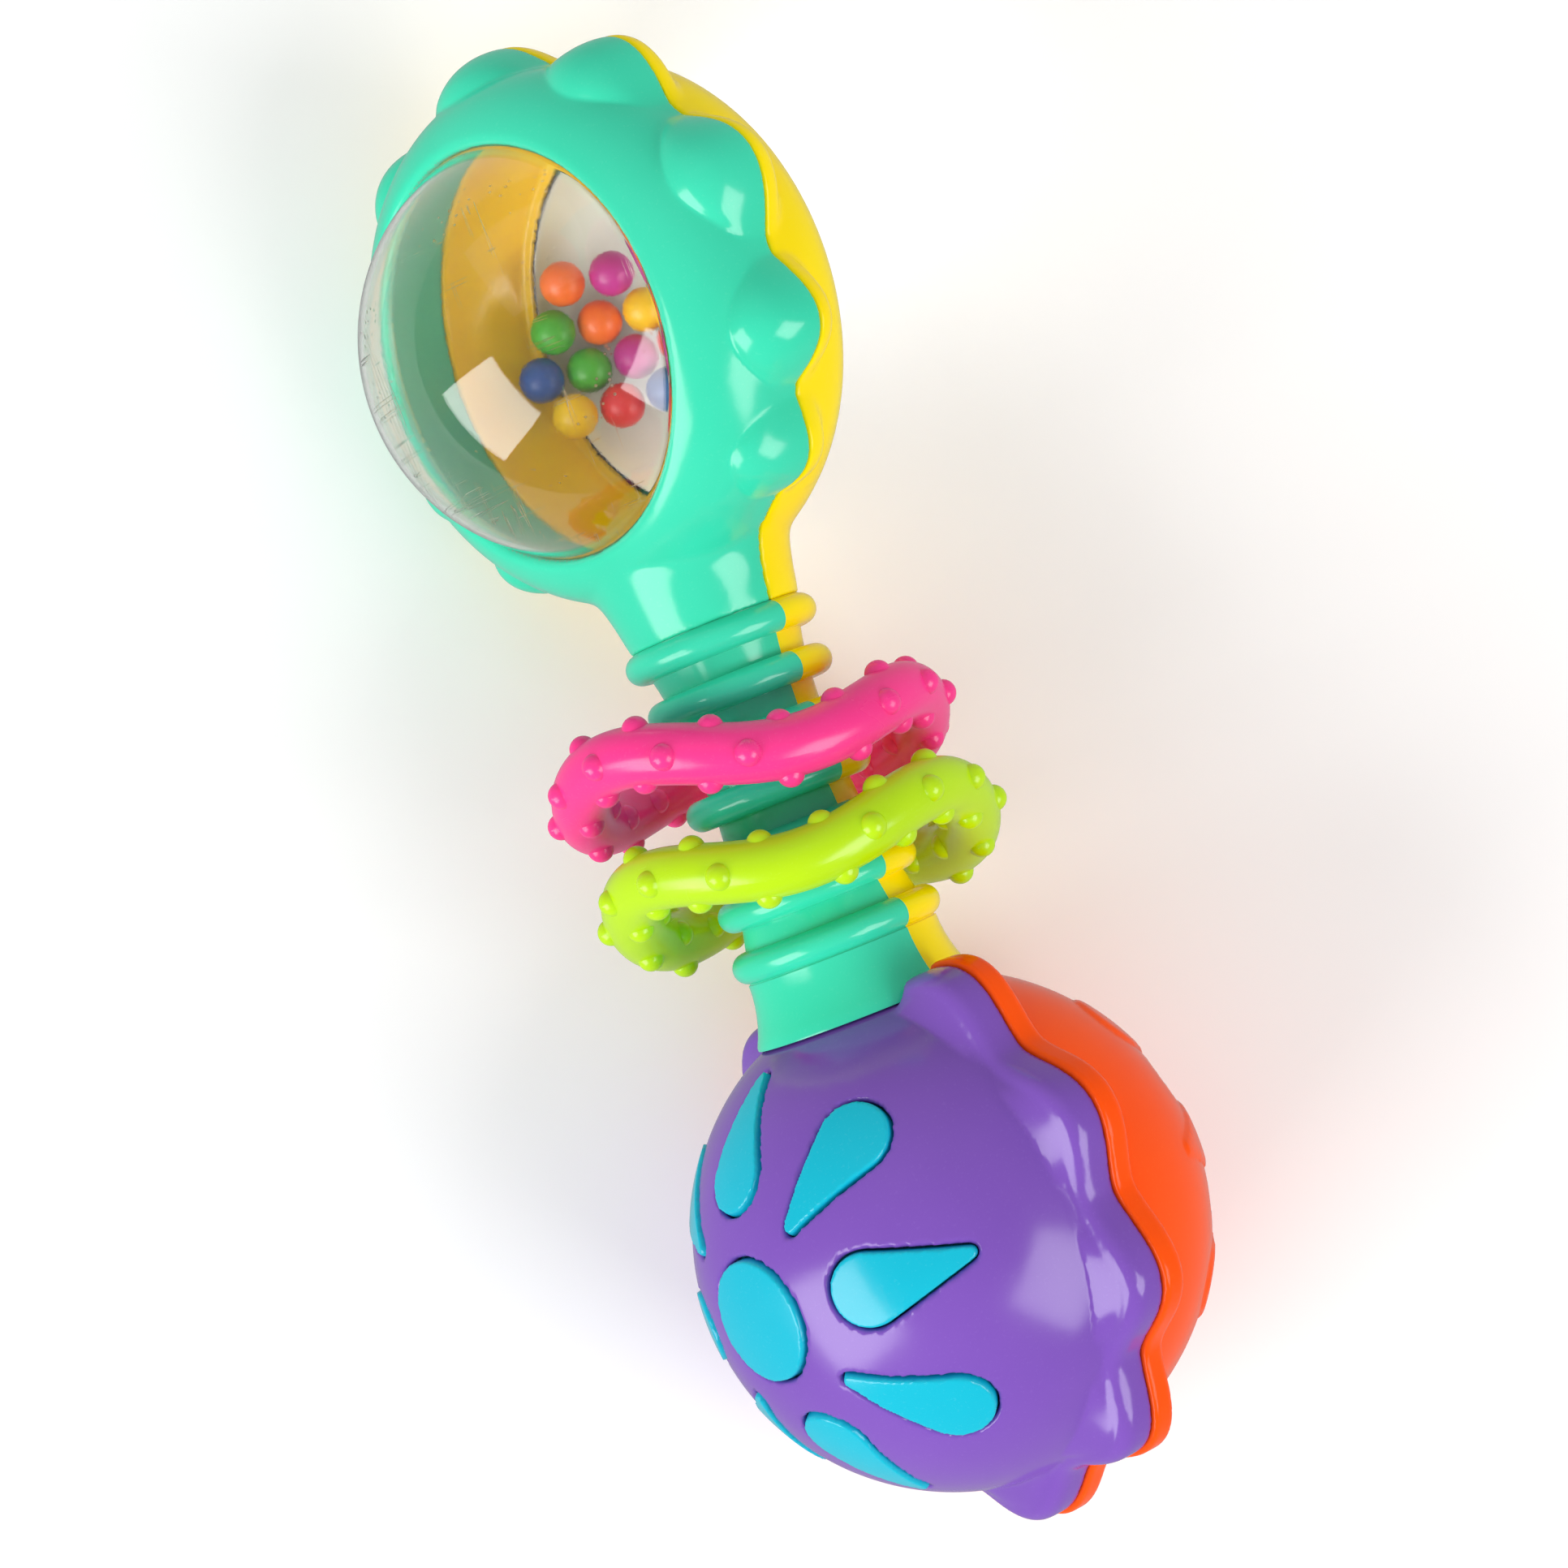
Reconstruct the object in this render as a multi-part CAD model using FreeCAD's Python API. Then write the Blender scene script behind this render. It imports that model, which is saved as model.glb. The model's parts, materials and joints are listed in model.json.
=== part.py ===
import FreeCAD, Part
import math
import os

# Baby rattle: a two-colour handle with a windowed bead chamber at its head, two loose
# wavy grab rings on the ribbed grip, and a twist-and-click ball at the other end.
#
# Millimetres. Every piece is modelled in the toy's own frame first: the ball's centre is
# the origin, +Y runs along the handle to the head, and +Z comes out of the front face.
# to_table() then lays the whole toy on a table as it rests, rolled onto the head's rim.

from FreeCAD import Vector

os.makedirs("parts", exist_ok=True)

X_AXIS = Vector(1, 0, 0)
Y_AXIS = Vector(0, 1, 0)
Z_AXIS = Vector(0, 0, 1)
ORIGIN = Vector(0, 0, 0)

# How the toy lies on the table.
REST_ROLL = -47.75          # turn about the handle, degrees
REST_PITCH = -1.16          # the head's rim is a little lower than the ball's side, degrees

# Ball.
BALL_R = 31.0
BALL_WALL = 2.2
BALL_SCALLOPS = 10
BALL_CREST_R = 36.0
BALL_VALLEY_R = 32.0
BALL_RIM_FRONT = 4.4        # thickness of the front shell's scalloped rim
BALL_RIM_REAR = 3.2
BALL_SEAM_Z = 6.2           # where the rim's slope runs out into the front hemisphere
REAR_STEP = 0.6             # the ball's rear rim stands this much proud of the front one
BALL_TWIST = -6.0           # the ball rests this far round its axis from the head's face, degrees

# Petals of the liner that shows through the front of the ball.
PETAL_COUNT = 8
PETAL_TILT = 40.5           # angle from the front pole to a petal's middle, degrees
PETAL_ROUND_R = 4.4
PETAL_TIP_R = 0.8
PETAL_SPAN = 12.6           # between the centres of the round end and of the tip
PETAL_PROUD = 0.35
PETAL_GAP = 0.2
DISC_R = 7.4
LINER_OUT_R = 28.6
LINER_IN_R = 26.4
LINER_EDGE_ANGLE = 60.0
LINER_TOP_Y = 23.2
RELIEF = 0.45               # height of the moulded petals on the rear of the ball

# Swivel inside the ball.
BORE_R = 6.06
JOURNAL_R = 6.0
WEB_Y = 23.4                # underside of the wall that carries the journal
FLANGE_TOP_Y = 22.8
FLANGE_LOW_Y = 20.3
FLANGE_R = 8.8
ANCHOR_R = 8.0
ANCHOR_LOW_Y = 36.1
ANCHOR_TOP_Y = 39.0
SHAFT_TOP_Y = 43.0
SHAFT_TOP_R = 5.0
SEAT_FIT = 0.03
SPIGOT_R = 4.5
SPIGOT_FLAT = 3.6
WHEEL_R = 10.5
WHEEL_LOW_Y = 15.7
WHEEL_TOP_Y = 20.25
CLICKS = 12
NOTCH_R = 1.6
NOTCH_AT = 11.2
NOSE_R = 1.2

# Screws of the ball: one in each quarter, driven from behind.
SCREW_X = 17.6
SCREW_Y = 7.3
SCREW_SEAT_Z = -8.0
SCREW_HEAD_R = 2.7
SCREW_HEAD_H = 2.0
SCREW_SHANK_R = 1.3
SCREW_TIP_Z = 10.0

# Head.
HEAD_Y = 115.0
WINDOW_R = 24.8
LIP_Z = 13.4
SEAT_Z = 11.8
SEAT_R = 26.4
CHAMBER_R = 28.4
HEAD_R = 32.3
HEAD_EDGE_Z = 4.0
HEAD_REAR_STEP = 0.2        # the rear scallops stand this much proud of the front ones
# Each scallop's middle and half width in degrees and its height; the left side mirrors the right.
HEAD_BUMPS = [(90.0, 19.5, 3.8), (53.0, 17.5, 4.3), (17.4, 18.1, 4.7), (-16.0, 15.3, 4.9), (-43.5, 13.5, 3.0)]
HEAD_RIM = 4.6
HEAD_RIM_SUNK = 0.4         # between the scallops the rim lies this deep in the head's wall

# Windows.
DOME_R = 24.65
DOME_WALL = 1.2
FRONT_DOME_TOP = 29.95
REAR_DOME_TOP = 27.5
WINDOW_FLANGE_R = 26.3
WINDOW_FLANGE_H = 1.1

# Grip.
COLLAR_R = 13.75
COLLAR_GAP = 0.35
RIB_YS = [75.7, 69.4, 63.1, 56.8, 50.5, 44.2, 37.9]
RIB_RS = [12.1, 11.7, 11.6, 11.7, 12.1, 12.6, 13.2]
RIB_T = 3.8
BARREL = [(12.0, 35.3), (10.6, 41.0), (9.3, 47.3), (8.5, 53.6), (8.3, 60.0),
          (8.5, 66.2), (9.2, 72.5), (10.1, 75.9)]
NECK = [(74.6, 9.2, 9.2), (77.6, 10.7, 10.6), (82.0, 11.8, 11.4),
        (86.0, 13.8, 12.0), (89.0, 17.0, 12.4), (92.0, 22.0, 12.6)]

# Grab rings.
RING_R = 21.3
RING_TUBE_R = 3.65
RING_WAVES = 3
RING_WAVE_H = 2.3
RING_TILT_H = 3.3
NUB_R = 1.65
NUB_RISE = 1.0
NUB_STATIONS = 16
RING_ARCS = 32
PINK_RING = {"y": 61.0, "side": -1.8, "hang": -3.4, "tilt_at": 134.0, "wave_at": 17.0}
LIME_RING = {"y": 47.0, "side": -0.8, "hang": -2.6, "tilt_at": 107.0, "wave_at": 29.0}

# Beads: plan position on the table about the head's centre as the toy rests, and how far
# the bead is held off the bowl of the rear window by the window's flange.
BEAD_R = 2.85
BEAD_GAP = 0.15
BEADS = [(-2.3, 10.0, 0), (3.9, 9.0, 0), (6.2, 3.4, 0), (0.3, 4.0, 0), (-5.6, 4.8, 0.7), (-3.1, -1.1, 0),
         (3.0, -1.6, 0), (8.9, -1.8, 0), (-9.1, -0.3, 0), (5.3, -7.1, 0), (-0.8, -6.8, 0), (-6.8, -6.1, 0.9)]


# ---- helpers -----------------------------------------------------------------------

def outline(start, steps, place):
    """A closed wire: each step is a point for a line, or (middle, end) for an arc."""
    edges = []
    here = place(*start)
    for step in steps:
        if isinstance(step[0], tuple):
            middle = place(*step[0])
            end = place(*step[1])
            edges.append(Part.Arc(here, middle, end).toShape())
        else:
            end = place(*step)
            edges.append(Part.makeLine(here, end))
        here = end
    if here.distanceToPoint(place(*start)) > 1e-6:
        edges.append(Part.makeLine(here, place(*start)))
    return Part.Wire(edges)


def along_handle(radius, y):
    return Vector(radius, y, 0)


def on_head(radius, z):
    return Vector(radius, HEAD_Y, z)


def turned_on_handle(start, steps):
    """A solid of revolution about the handle's axis from (radius, y) points."""
    return Part.Face(outline(start, steps, along_handle)).revolve(ORIGIN, Y_AXIS, 360)


def turned_on_head(start, steps):
    """A solid of revolution about the head's axis from (radius, z) points."""
    centre = Vector(0, HEAD_Y, 0)
    return Part.Face(outline(start, steps, on_head)).revolve(centre, Z_AXIS, 360)


def rod(radius, y_low, y_high):
    """A cylinder on the handle's axis."""
    return Part.makeCylinder(radius, y_high - y_low, Vector(0, y_low, 0), Y_AXIS)


def pin(radius, x, y, z_low, z_high):
    """A cylinder parallel to the front normal."""
    return Part.makeCylinder(radius, z_high - z_low, Vector(x, y, z_low), Z_AXIS)


def block(low, high):
    size = Vector(*high) - Vector(*low)
    return Part.makeBox(size.x, size.y, size.z, Vector(*low))


def front_side():
    return block((-60, -60, 0), (60, 170, 60))


def mirrored(shape):
    """The same piece on the other side of the parting plane."""
    return shape.mirror(ORIGIN, Z_AXIS)


def sphere(radius):
    return Part.makeSphere(radius)


def ball_layer(inner, outer):
    return sphere(outer).cut(sphere(inner))


def one_solid(shape):
    """The largest solid of a Boolean result, cleaned of leftover seams."""
    solids = sorted(shape.Solids, key=lambda s: s.Volume)
    return solids[-1].removeSplitter()


def ripple_wire(radius_at, centre_y, z, stations=120):
    """A closed smooth outline in a plane z, from a radius that depends on the angle."""
    points = []
    for i in range(stations):
        angle = 2 * math.pi * i / stations
        radius = radius_at(math.degrees(angle))
        points.append(Vector(radius * math.cos(angle), centre_y + radius * math.sin(angle), z))
    curve = Part.BSplineCurve()
    curve.interpolate(Points=points, PeriodicFlag=True)
    return Part.Wire([curve.toShape()])


def rim(radius_at, centre_y, layers):
    """A rippled rim: layers are (z, inset, smallest radius allowed)."""
    wires = []
    for z, inset, floor in layers:
        wires.append(ripple_wire(lambda a: max(radius_at(a) - inset, floor), centre_y, z))
    return Part.makeLoft(wires, True, True)


# ---- head and handle ---------------------------------------------------------------

def head_radius(angle):
    """Radius of the head's scalloped outline."""
    base = HEAD_R - HEAD_RIM_SUNK
    radius = base
    bumps = HEAD_BUMPS + [(180.0 - crest, half, height) for crest, half, height in HEAD_BUMPS[1:]]
    for crest, half, height in bumps:
        away = abs((angle - crest + 180.0) % 360.0 - 180.0)
        if away < half:
            swell = math.cos(math.radians(90.0 * away / half)) ** 1.4
            radius = max(radius, base + (height + HEAD_RIM_SUNK) * swell)
    return radius


def head_rim(grow):
    """The puffed scallops round the head."""
    layers = [(0.0, -grow, 0.0), (2.2, -grow, 0.0), (3.5, 0.6 - grow, 0.0), (HEAD_RIM, 2.4 - grow, 0.0)]
    return rim(head_radius, HEAD_Y, layers)


def head_wall():
    """One half of the head's wall: a dished ring with the window's seat and lip."""
    steps = [(HEAD_R, 0), (HEAD_R, HEAD_EDGE_Z), ((29.7, 10.6), (26.0, LIP_Z)),
             ((25.2, 13.3), (WINDOW_R, 12.9)), (WINDOW_R, SEAT_Z), (SEAT_R, SEAT_Z),
             (SEAT_R, SEAT_Z - WINDOW_FLANGE_H), ((27.7, 6.0), (CHAMBER_R, 0))]
    return turned_on_head((CHAMBER_R, 0), steps)


def head_core():
    """What the neck and the rim must not fill: everything inside the middle of the wall."""
    steps = [(CHAMBER_R + 1.5, -1.0), (CHAMBER_R + 1.5, 4.0), (SEAT_R + 1.0, SEAT_Z - 1.5),
             (SEAT_R + 1.0, 30.0), (0, 30.0)]
    return turned_on_head((0, -1.0), steps)


def grip():
    """The outside of the grip: collar, waisted barrel, ribs and flared neck."""
    spine = Part.BSplineCurve()
    spine.interpolate(Points=[along_handle(r, y) for r, y in BARREL])
    low = along_handle(*BARREL[0])
    high = along_handle(*BARREL[-1])
    edges = [spine.toShape(), Part.makeLine(high, Vector(0, high.y, 0)),
             Part.makeLine(Vector(0, high.y, 0), Vector(0, low.y, 0)),
             Part.makeLine(Vector(0, low.y, 0), low)]
    barrel = Part.Face(Part.Wire(edges)).revolve(ORIGIN, Y_AXIS, 360)
    collar_low = 26.0
    collar = turned_on_handle((0, collar_low), [(COLLAR_R, collar_low), (COLLAR_R, 28.6),
                                                ((12.5, 32.0), (12.0, 35.9)), (0, 35.9)])
    pieces = [collar]
    for y, radius in zip(RIB_YS, RIB_RS):
        half = RIB_T / 2
        flat = radius - half
        steps = [(flat, y - half), ((radius, y), (flat, y + half)), (0, y + half)]
        pieces.append(turned_on_handle((0, y - half), steps))
    sections = []
    for y, across, deep in NECK:
        ring = Part.Ellipse(ORIGIN, across, deep).toShape()
        ring.rotate(ORIGIN, X_AXIS, 90)
        ring.translate(Vector(0, y, 0))
        sections.append(Part.Wire([ring]))
    pieces.append(Part.makeLoft(sections, True, False))
    return barrel.multiFuse(pieces)


def grip_hollow():
    """What is cut from the grip: its core, the swivel shaft's seat and room for the ball."""
    core = turned_on_handle((0, 42.5), [(7.6, 42.5), (6.4, 50.0), (6.2, 62.0), (7.4, 77.0), (5.0, 81.5), (0, 81.5)])
    seat = rod(JOURNAL_R + SEAT_FIT, 20.0, ANCHOR_LOW_Y)
    pocket = rod(ANCHOR_R + SEAT_FIT, ANCHOR_LOW_Y - SEAT_FIT, ANCHOR_TOP_Y + SEAT_FIT)
    end = rod(SHAFT_TOP_R + SEAT_FIT, ANCHOR_TOP_Y, SHAFT_TOP_Y)
    return core.multiFuse([seat, pocket, end, sphere(BALL_R + COLLAR_GAP)])


def half_shell(grow):
    """A whole handle-and-head half, from the grip's collar to the window's lip."""
    core = head_core()
    handle = grip().common(front_side()).cut(core).cut(grip_hollow())
    body = head_wall().multiFuse([one_solid(handle), head_rim(grow).cut(core)])
    return one_solid(body)


def window(top):
    """A clear dome with a flange that is held under the window's lip."""
    base = 12.7
    rise = top - base
    radius = (DOME_R ** 2 + rise ** 2) / (2 * rise)
    centre_z = top - radius
    inner = radius - DOME_WALL
    inner_base_r = DOME_R - DOME_WALL
    inner_base_z = centre_z + math.sqrt(inner ** 2 - inner_base_r ** 2)

    def on_arc(r, angle):
        return (r * math.sin(angle), centre_z + r * math.cos(angle))

    outer_half = math.atan2(DOME_R, base - centre_z) / 2
    inner_half = math.atan2(inner_base_r, inner_base_z - centre_z) / 2
    flange_top = SEAT_Z - SEAT_FIT
    flange_low = flange_top - WINDOW_FLANGE_H
    steps = [(WINDOW_FLANGE_R, flange_low), (WINDOW_FLANGE_R, flange_top), (DOME_R, flange_top), (DOME_R, base),
             (on_arc(radius, outer_half), (0, top)), (0, top - DOME_WALL),
             (on_arc(inner, inner_half), (inner_base_r, inner_base_z))]
    return turned_on_head((inner_base_r, flange_low), steps)


# ---- ball --------------------------------------------------------------------------

def ball_radius(angle):
    """Radius of the ball's scalloped rim, with a crest straight down the handle's axis."""
    swell = 0.5 + 0.5 * math.cos(math.radians(BALL_SCALLOPS * (angle + 90.0)))
    return BALL_VALLEY_R + (BALL_CREST_R - BALL_VALLEY_R) * swell ** 0.85


def ball_rim(thick, grow, slope):
    """The rim of one half; the front one slopes back into the hemisphere."""
    layers = [(0.0, -grow, 0.0), (thick - 1.3, -grow, 0.0), (thick - 0.4, 0.45 - grow, 0.0), (thick, 1.4 - grow, 0.0)]
    if slope:
        layers.append((BALL_SEAM_Z, 99.0, 29.9))
    return rim(ball_radius, 0.0, layers)


def teardrop(grow, low, high):
    """A teardrop prism along +Z between two heights, its tip towards +X."""
    big = PETAL_ROUND_R + grow
    small = PETAL_TIP_R + grow
    lean = math.acos((big - small) / PETAL_SPAN)
    back = -(PETAL_SPAN + PETAL_TIP_R - PETAL_ROUND_R) / 2
    tip = back + PETAL_SPAN

    def touch(centre, radius, side):
        return Vector(centre + radius * math.cos(lean), side * radius * math.sin(lean), low)

    edges = [Part.Arc(touch(back, big, 1), Vector(back - big, 0, low), touch(back, big, -1)).toShape(),
             Part.makeLine(touch(back, big, -1), touch(tip, small, -1)),
             Part.Arc(touch(tip, small, -1), Vector(tip + small, 0, low), touch(tip, small, 1)).toShape(),
             Part.makeLine(touch(tip, small, 1), touch(back, big, 1))]
    return Part.Face(Part.Wire(edges)).extrude(Vector(0, 0, high - low))


def petals(grow, inner, outer):
    """Eight teardrops round a disc, between two spheres; every other one points inwards."""
    shapes = [pin(DISC_R + grow, 0, 0, 20.0, 34.0)]
    for i in range(PETAL_COUNT):
        petal = teardrop(grow, 20.0, 36.0)
        if i % 2 == 1:
            petal.rotate(ORIGIN, Z_AXIS, 180)
        petal.rotate(ORIGIN, Y_AXIS, PETAL_TILT)
        petal.rotate(ORIGIN, Z_AXIS, 360.0 * i / PETAL_COUNT)
        shapes.append(petal)
    layer = ball_layer(inner, outer)
    return [shape.common(layer) for shape in shapes]


def screw_places():
    return [(sx * SCREW_X, sy * SCREW_Y) for sx in (-1, 1) for sy in (-1, 1)]


def hemisphere_shell():
    """The front half of the ball's wall, with the web that carries the journal."""
    wall = ball_layer(BALL_R - BALL_WALL, BALL_R)
    web = sphere(BALL_R - 0.5).common(block((-31, WEB_Y, -31), (31, 32, 31)))
    return wall.fuse(web).common(front_side())


def collar_room():
    """Clears the rim where the handle's collar turns over the ball."""
    return rod(COLLAR_R + 0.6, 20.0, 45.0).cut(sphere(BALL_R))


def bore():
    return rod(BORE_R, 15.0, 40.0)


def ball_front():
    half = hemisphere_shell()
    rim_body = ball_rim(BALL_RIM_FRONT, 0.0, True).cut(sphere(BALL_R - 1.0))
    bosses = [pin(3.2, x, y, 0.0, 26.0).common(sphere(BALL_R - 1.0)) for x, y in screw_places()]
    body = half.multiFuse([rim_body] + bosses)
    holes = [pin(SCREW_SHANK_R + SEAT_FIT, x, y, -1.0, SCREW_TIP_Z + 1.0) for x, y in screw_places()]
    openings = petals(PETAL_GAP, LINER_OUT_R - 1.9, BALL_R + 2.0)
    return one_solid(body.cut(bore().multiFuse([collar_room()] + holes)).cut(openings))


def ball_rear():
    half = hemisphere_shell()
    rim_body = ball_rim(BALL_RIM_REAR, REAR_STEP, False).cut(sphere(BALL_R - 1.0))
    relief = petals(0.0, BALL_R - 1.0, BALL_R + RELIEF)
    seat = -SCREW_SEAT_Z
    bosses = [pin(4.0, x, y, 0.0, 26.0).common(sphere(BALL_R - 1.0)) for x, y in screw_places()]
    post = block((-16.0, 15.9, 13.4), (-11.0, 20.0, 26.0)).common(sphere(BALL_R - 1.0))
    body = half.multiFuse([rim_body, post] + bosses + relief)
    through = [pin(SCREW_SHANK_R + 0.3, x, y, -1.0, seat + 1.0) for x, y in screw_places()]
    recess = [pin(SCREW_HEAD_R + 0.25, x, y, seat, 40.0) for x, y in screw_places()]
    cutter = bore().multiFuse([collar_room()] + through + recess)
    return mirrored(one_solid(body.cut(cutter)))


def petal_liner():
    """The liner behind the front shell, whose petals fill its openings."""
    edge = LINER_OUT_R * math.cos(math.radians(LINER_EDGE_ANGLE))
    cap = ball_layer(LINER_IN_R, LINER_OUT_R).common(block((-31, -31, edge), (31, LINER_TOP_Y, 31)))
    body = cap.multiFuse(petals(0.0, LINER_OUT_R - 1.6, BALL_R + PETAL_PROUD))
    holes = [pin(3.6, x, y, 0.0, LINER_OUT_R + 0.1).common(sphere(LINER_OUT_R + 0.1)) for x, y in screw_places()]
    return one_solid(body.cut(holes))


def screw(x, y):
    """A pan-head screw from behind, with a cross recess."""
    head = pin(SCREW_HEAD_R, x, y, SCREW_SEAT_Z - SCREW_HEAD_H, SCREW_SEAT_Z)
    shank = pin(SCREW_SHANK_R, x, y, SCREW_SEAT_Z, SCREW_TIP_Z)
    low = SCREW_SEAT_Z - SCREW_HEAD_H - 1.0
    slot_a = block((x - 1.5, y - 0.35, low), (x + 1.5, y + 0.35, low + 2.0))
    slot_b = block((x - 0.35, y - 1.5, low), (x + 0.35, y + 1.5, low + 2.0))
    return head.fuse(shank).cut([slot_a, slot_b]).removeSplitter()


# ---- swivel and click --------------------------------------------------------------

def spigot(radius, flat, y_low, y_high):
    side = 20.0
    return rod(radius, y_low, y_high).common(block((-flat, y_low, -side), (flat, y_high, side)))


def swivel_shaft():
    """Clamped in the handle by its anchor; the ball turns on its journal."""
    steps = [(FLANGE_R, FLANGE_LOW_Y), (FLANGE_R, FLANGE_TOP_Y), (JOURNAL_R, FLANGE_TOP_Y),
             (JOURNAL_R, ANCHOR_LOW_Y), (ANCHOR_R, ANCHOR_LOW_Y), (ANCHOR_R, ANCHOR_TOP_Y),
             (SHAFT_TOP_R, ANCHOR_TOP_Y), (SHAFT_TOP_R, SHAFT_TOP_Y), (0, SHAFT_TOP_Y)]
    body = turned_on_handle((0, FLANGE_LOW_Y), steps)
    end = spigot(SPIGOT_R, SPIGOT_FLAT, WHEEL_LOW_Y + 0.2, FLANGE_LOW_Y)
    return one_solid(body.fuse(end).cut(rod(1.5, 10.0, 29.0)))


def click_wheel():
    """A disc with twelve notches, keyed to the shaft's flats."""
    disc = rod(WHEEL_R, WHEEL_LOW_Y, WHEEL_TOP_Y)
    cutters = [spigot(SPIGOT_R + SEAT_FIT, SPIGOT_FLAT + SEAT_FIT, WHEEL_LOW_Y - 1, WHEEL_TOP_Y + 1)]
    for i in range(CLICKS):
        notch = Part.makeCylinder(NOTCH_R, 8.0, Vector(0, WHEEL_LOW_Y - 1, -NOTCH_AT), Y_AXIS)
        notch.rotate(ORIGIN, Y_AXIS, 360.0 * i / CLICKS)
        cutters.append(notch)
    return one_solid(disc.cut(cutters))


def wheel_screw():
    head = rod(5.6, WHEEL_LOW_Y - 2.0, WHEEL_LOW_Y - 0.05)
    shank = rod(1.45, WHEEL_LOW_Y - 0.05, 27.5)
    slot = block((-3.0, WHEEL_LOW_Y - 3.0, -0.5), (3.0, WHEEL_LOW_Y - 1.0, 0.5))
    return one_solid(head.fuse(shank).cut(slot))


def thrust_washer():
    return rod(9.5, FLANGE_TOP_Y + 0.05, WEB_Y - 0.05).cut(rod(JOURNAL_R + 0.1, 20.0, 25.0))


def click_pawl():
    """A springy tongue whose nose drops into the wheel's notches as the ball is twisted."""
    low, high = 16.0, 19.9
    foot = block((-15.9, low, -13.35), (-11.1, high, -12.1))
    tongue = block((-11.2, low, -13.0), (1.2, high, -12.3))
    neck = block((-0.9, low, -12.4), (0.9, high, -11.2))
    nose = Part.makeCylinder(NOSE_R, high - low, Vector(0, low, -NOTCH_AT), Y_AXIS)
    return one_solid(foot.multiFuse([tongue, neck, nose]))


# ---- rings and beads ---------------------------------------------------------------

def side_and_up():
    """Table directions in the toy's own frame: sideways and up."""
    roll = math.radians(REST_ROLL)
    return Vector(math.cos(roll), 0, math.sin(roll)), Vector(-math.sin(roll), 0, math.cos(roll))


def ring_point(ring, angle):
    """A point on the ring's centre line: a circle with three waves, hanging a little askew."""
    side, up = side_and_up()
    rise = RING_TILT_H * math.cos(angle - math.radians(ring["tilt_at"]))
    rise += RING_WAVE_H * math.cos(RING_WAVES * (angle - math.radians(ring["wave_at"])))
    across = side * (ring["side"] + RING_R * math.cos(angle))
    deep = up * (ring["hang"] + RING_R * math.sin(angle))
    return across + deep + Vector(0, ring["y"] + rise, 0)


def ring_axes(ring, angle):
    """Outward and headward directions square to the centre line at an angle."""
    step = 1e-3
    along = (ring_point(ring, angle + step) - ring_point(ring, angle - step)).normalize()
    side, up = side_and_up()
    out = side * math.cos(angle) + up * math.sin(angle)
    head = out.cross(along).normalize()
    if head.y < 0:
        head = head * -1
    return out, head


def ring_path(ring):
    """The centre line as arcs that meet tangent at the middles of equal chords."""
    corners = [ring_point(ring, 2 * math.pi * i / RING_ARCS) for i in range(RING_ARCS)]
    edges = []
    for i in range(RING_ARCS):
        corner = corners[i]
        before = (corners[i - 1] + corner) * 0.5
        after = (corners[(i + 1) % RING_ARCS] + corner) * 0.5
        reach = min((before - corner).Length, (after - corner).Length)
        start = corner + (before - corner).normalize() * reach
        end = corner + (after - corner).normalize() * reach
        half = (before - corner).getAngle(after - corner) / 2
        bulge = (start + end) * 0.5 - corner
        centre_away = reach / math.cos(half)
        radius = reach * math.tan(half)
        middle = corner + bulge.normalize() * (centre_away - radius)
        edges.append((start, middle, end))
    shapes = []
    for i, (start, middle, end) in enumerate(edges):
        last = edges[i - 1][2]
        if (start - last).Length > 1e-4:
            shapes.append(Part.makeLine(last, start))
        shapes.append(Part.Arc(start, middle, end).toShape())
    return Part.Wire(Part.__sortEdges__(shapes))


def grab_ring(ring):
    path = ring_path(ring)
    start = path.Edges[0].valueAt(path.Edges[0].FirstParameter)
    heading = path.Edges[0].tangentAt(path.Edges[0].FirstParameter)
    section = Part.Wire([Part.makeCircle(RING_TUBE_R, start, heading)])
    tube = path.makePipeShell([section], True, False)
    nubs = []
    for i in range(2 * NUB_STATIONS):
        angle = math.pi * i / NUB_STATIONS
        out, head = ring_axes(ring, angle)
        across = out if i % 2 == 0 else head
        for way in (1, -1):
            centre = ring_point(ring, angle) + across * (way * (RING_TUBE_R + NUB_RISE - NUB_R))
            nubs.append(Part.makeSphere(NUB_R, centre))
    return one_solid(tube.multiFuse(nubs))


def bead_centre(place):
    """Where a bead lies in the bowl of the rear window, in the toy's own frame."""
    rise = REAR_DOME_TOP - 12.7
    dome = (DOME_R ** 2 + rise ** 2) / (2 * rise)
    centre_z = dome - REAR_DOME_TOP
    reach = dome - DOME_WALL - BEAD_R - BEAD_GAP
    side, up = side_and_up()
    across = place[0] - side.z * centre_z
    height = up.z * centre_z - math.sqrt(reach ** 2 - across ** 2 - place[1] ** 2) + place[2]
    return side * place[0] + up * height + Vector(0, HEAD_Y + place[1], 0)


# ---- assembly ----------------------------------------------------------------------

BALL_SIDE = ["ball_front_shell", "ball_rear_shell", "petal_liner", "ball_screws", "click_pawl",
             "click_wheel", "wheel_screw", "thrust_washer", "swivel_shaft"]


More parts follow.
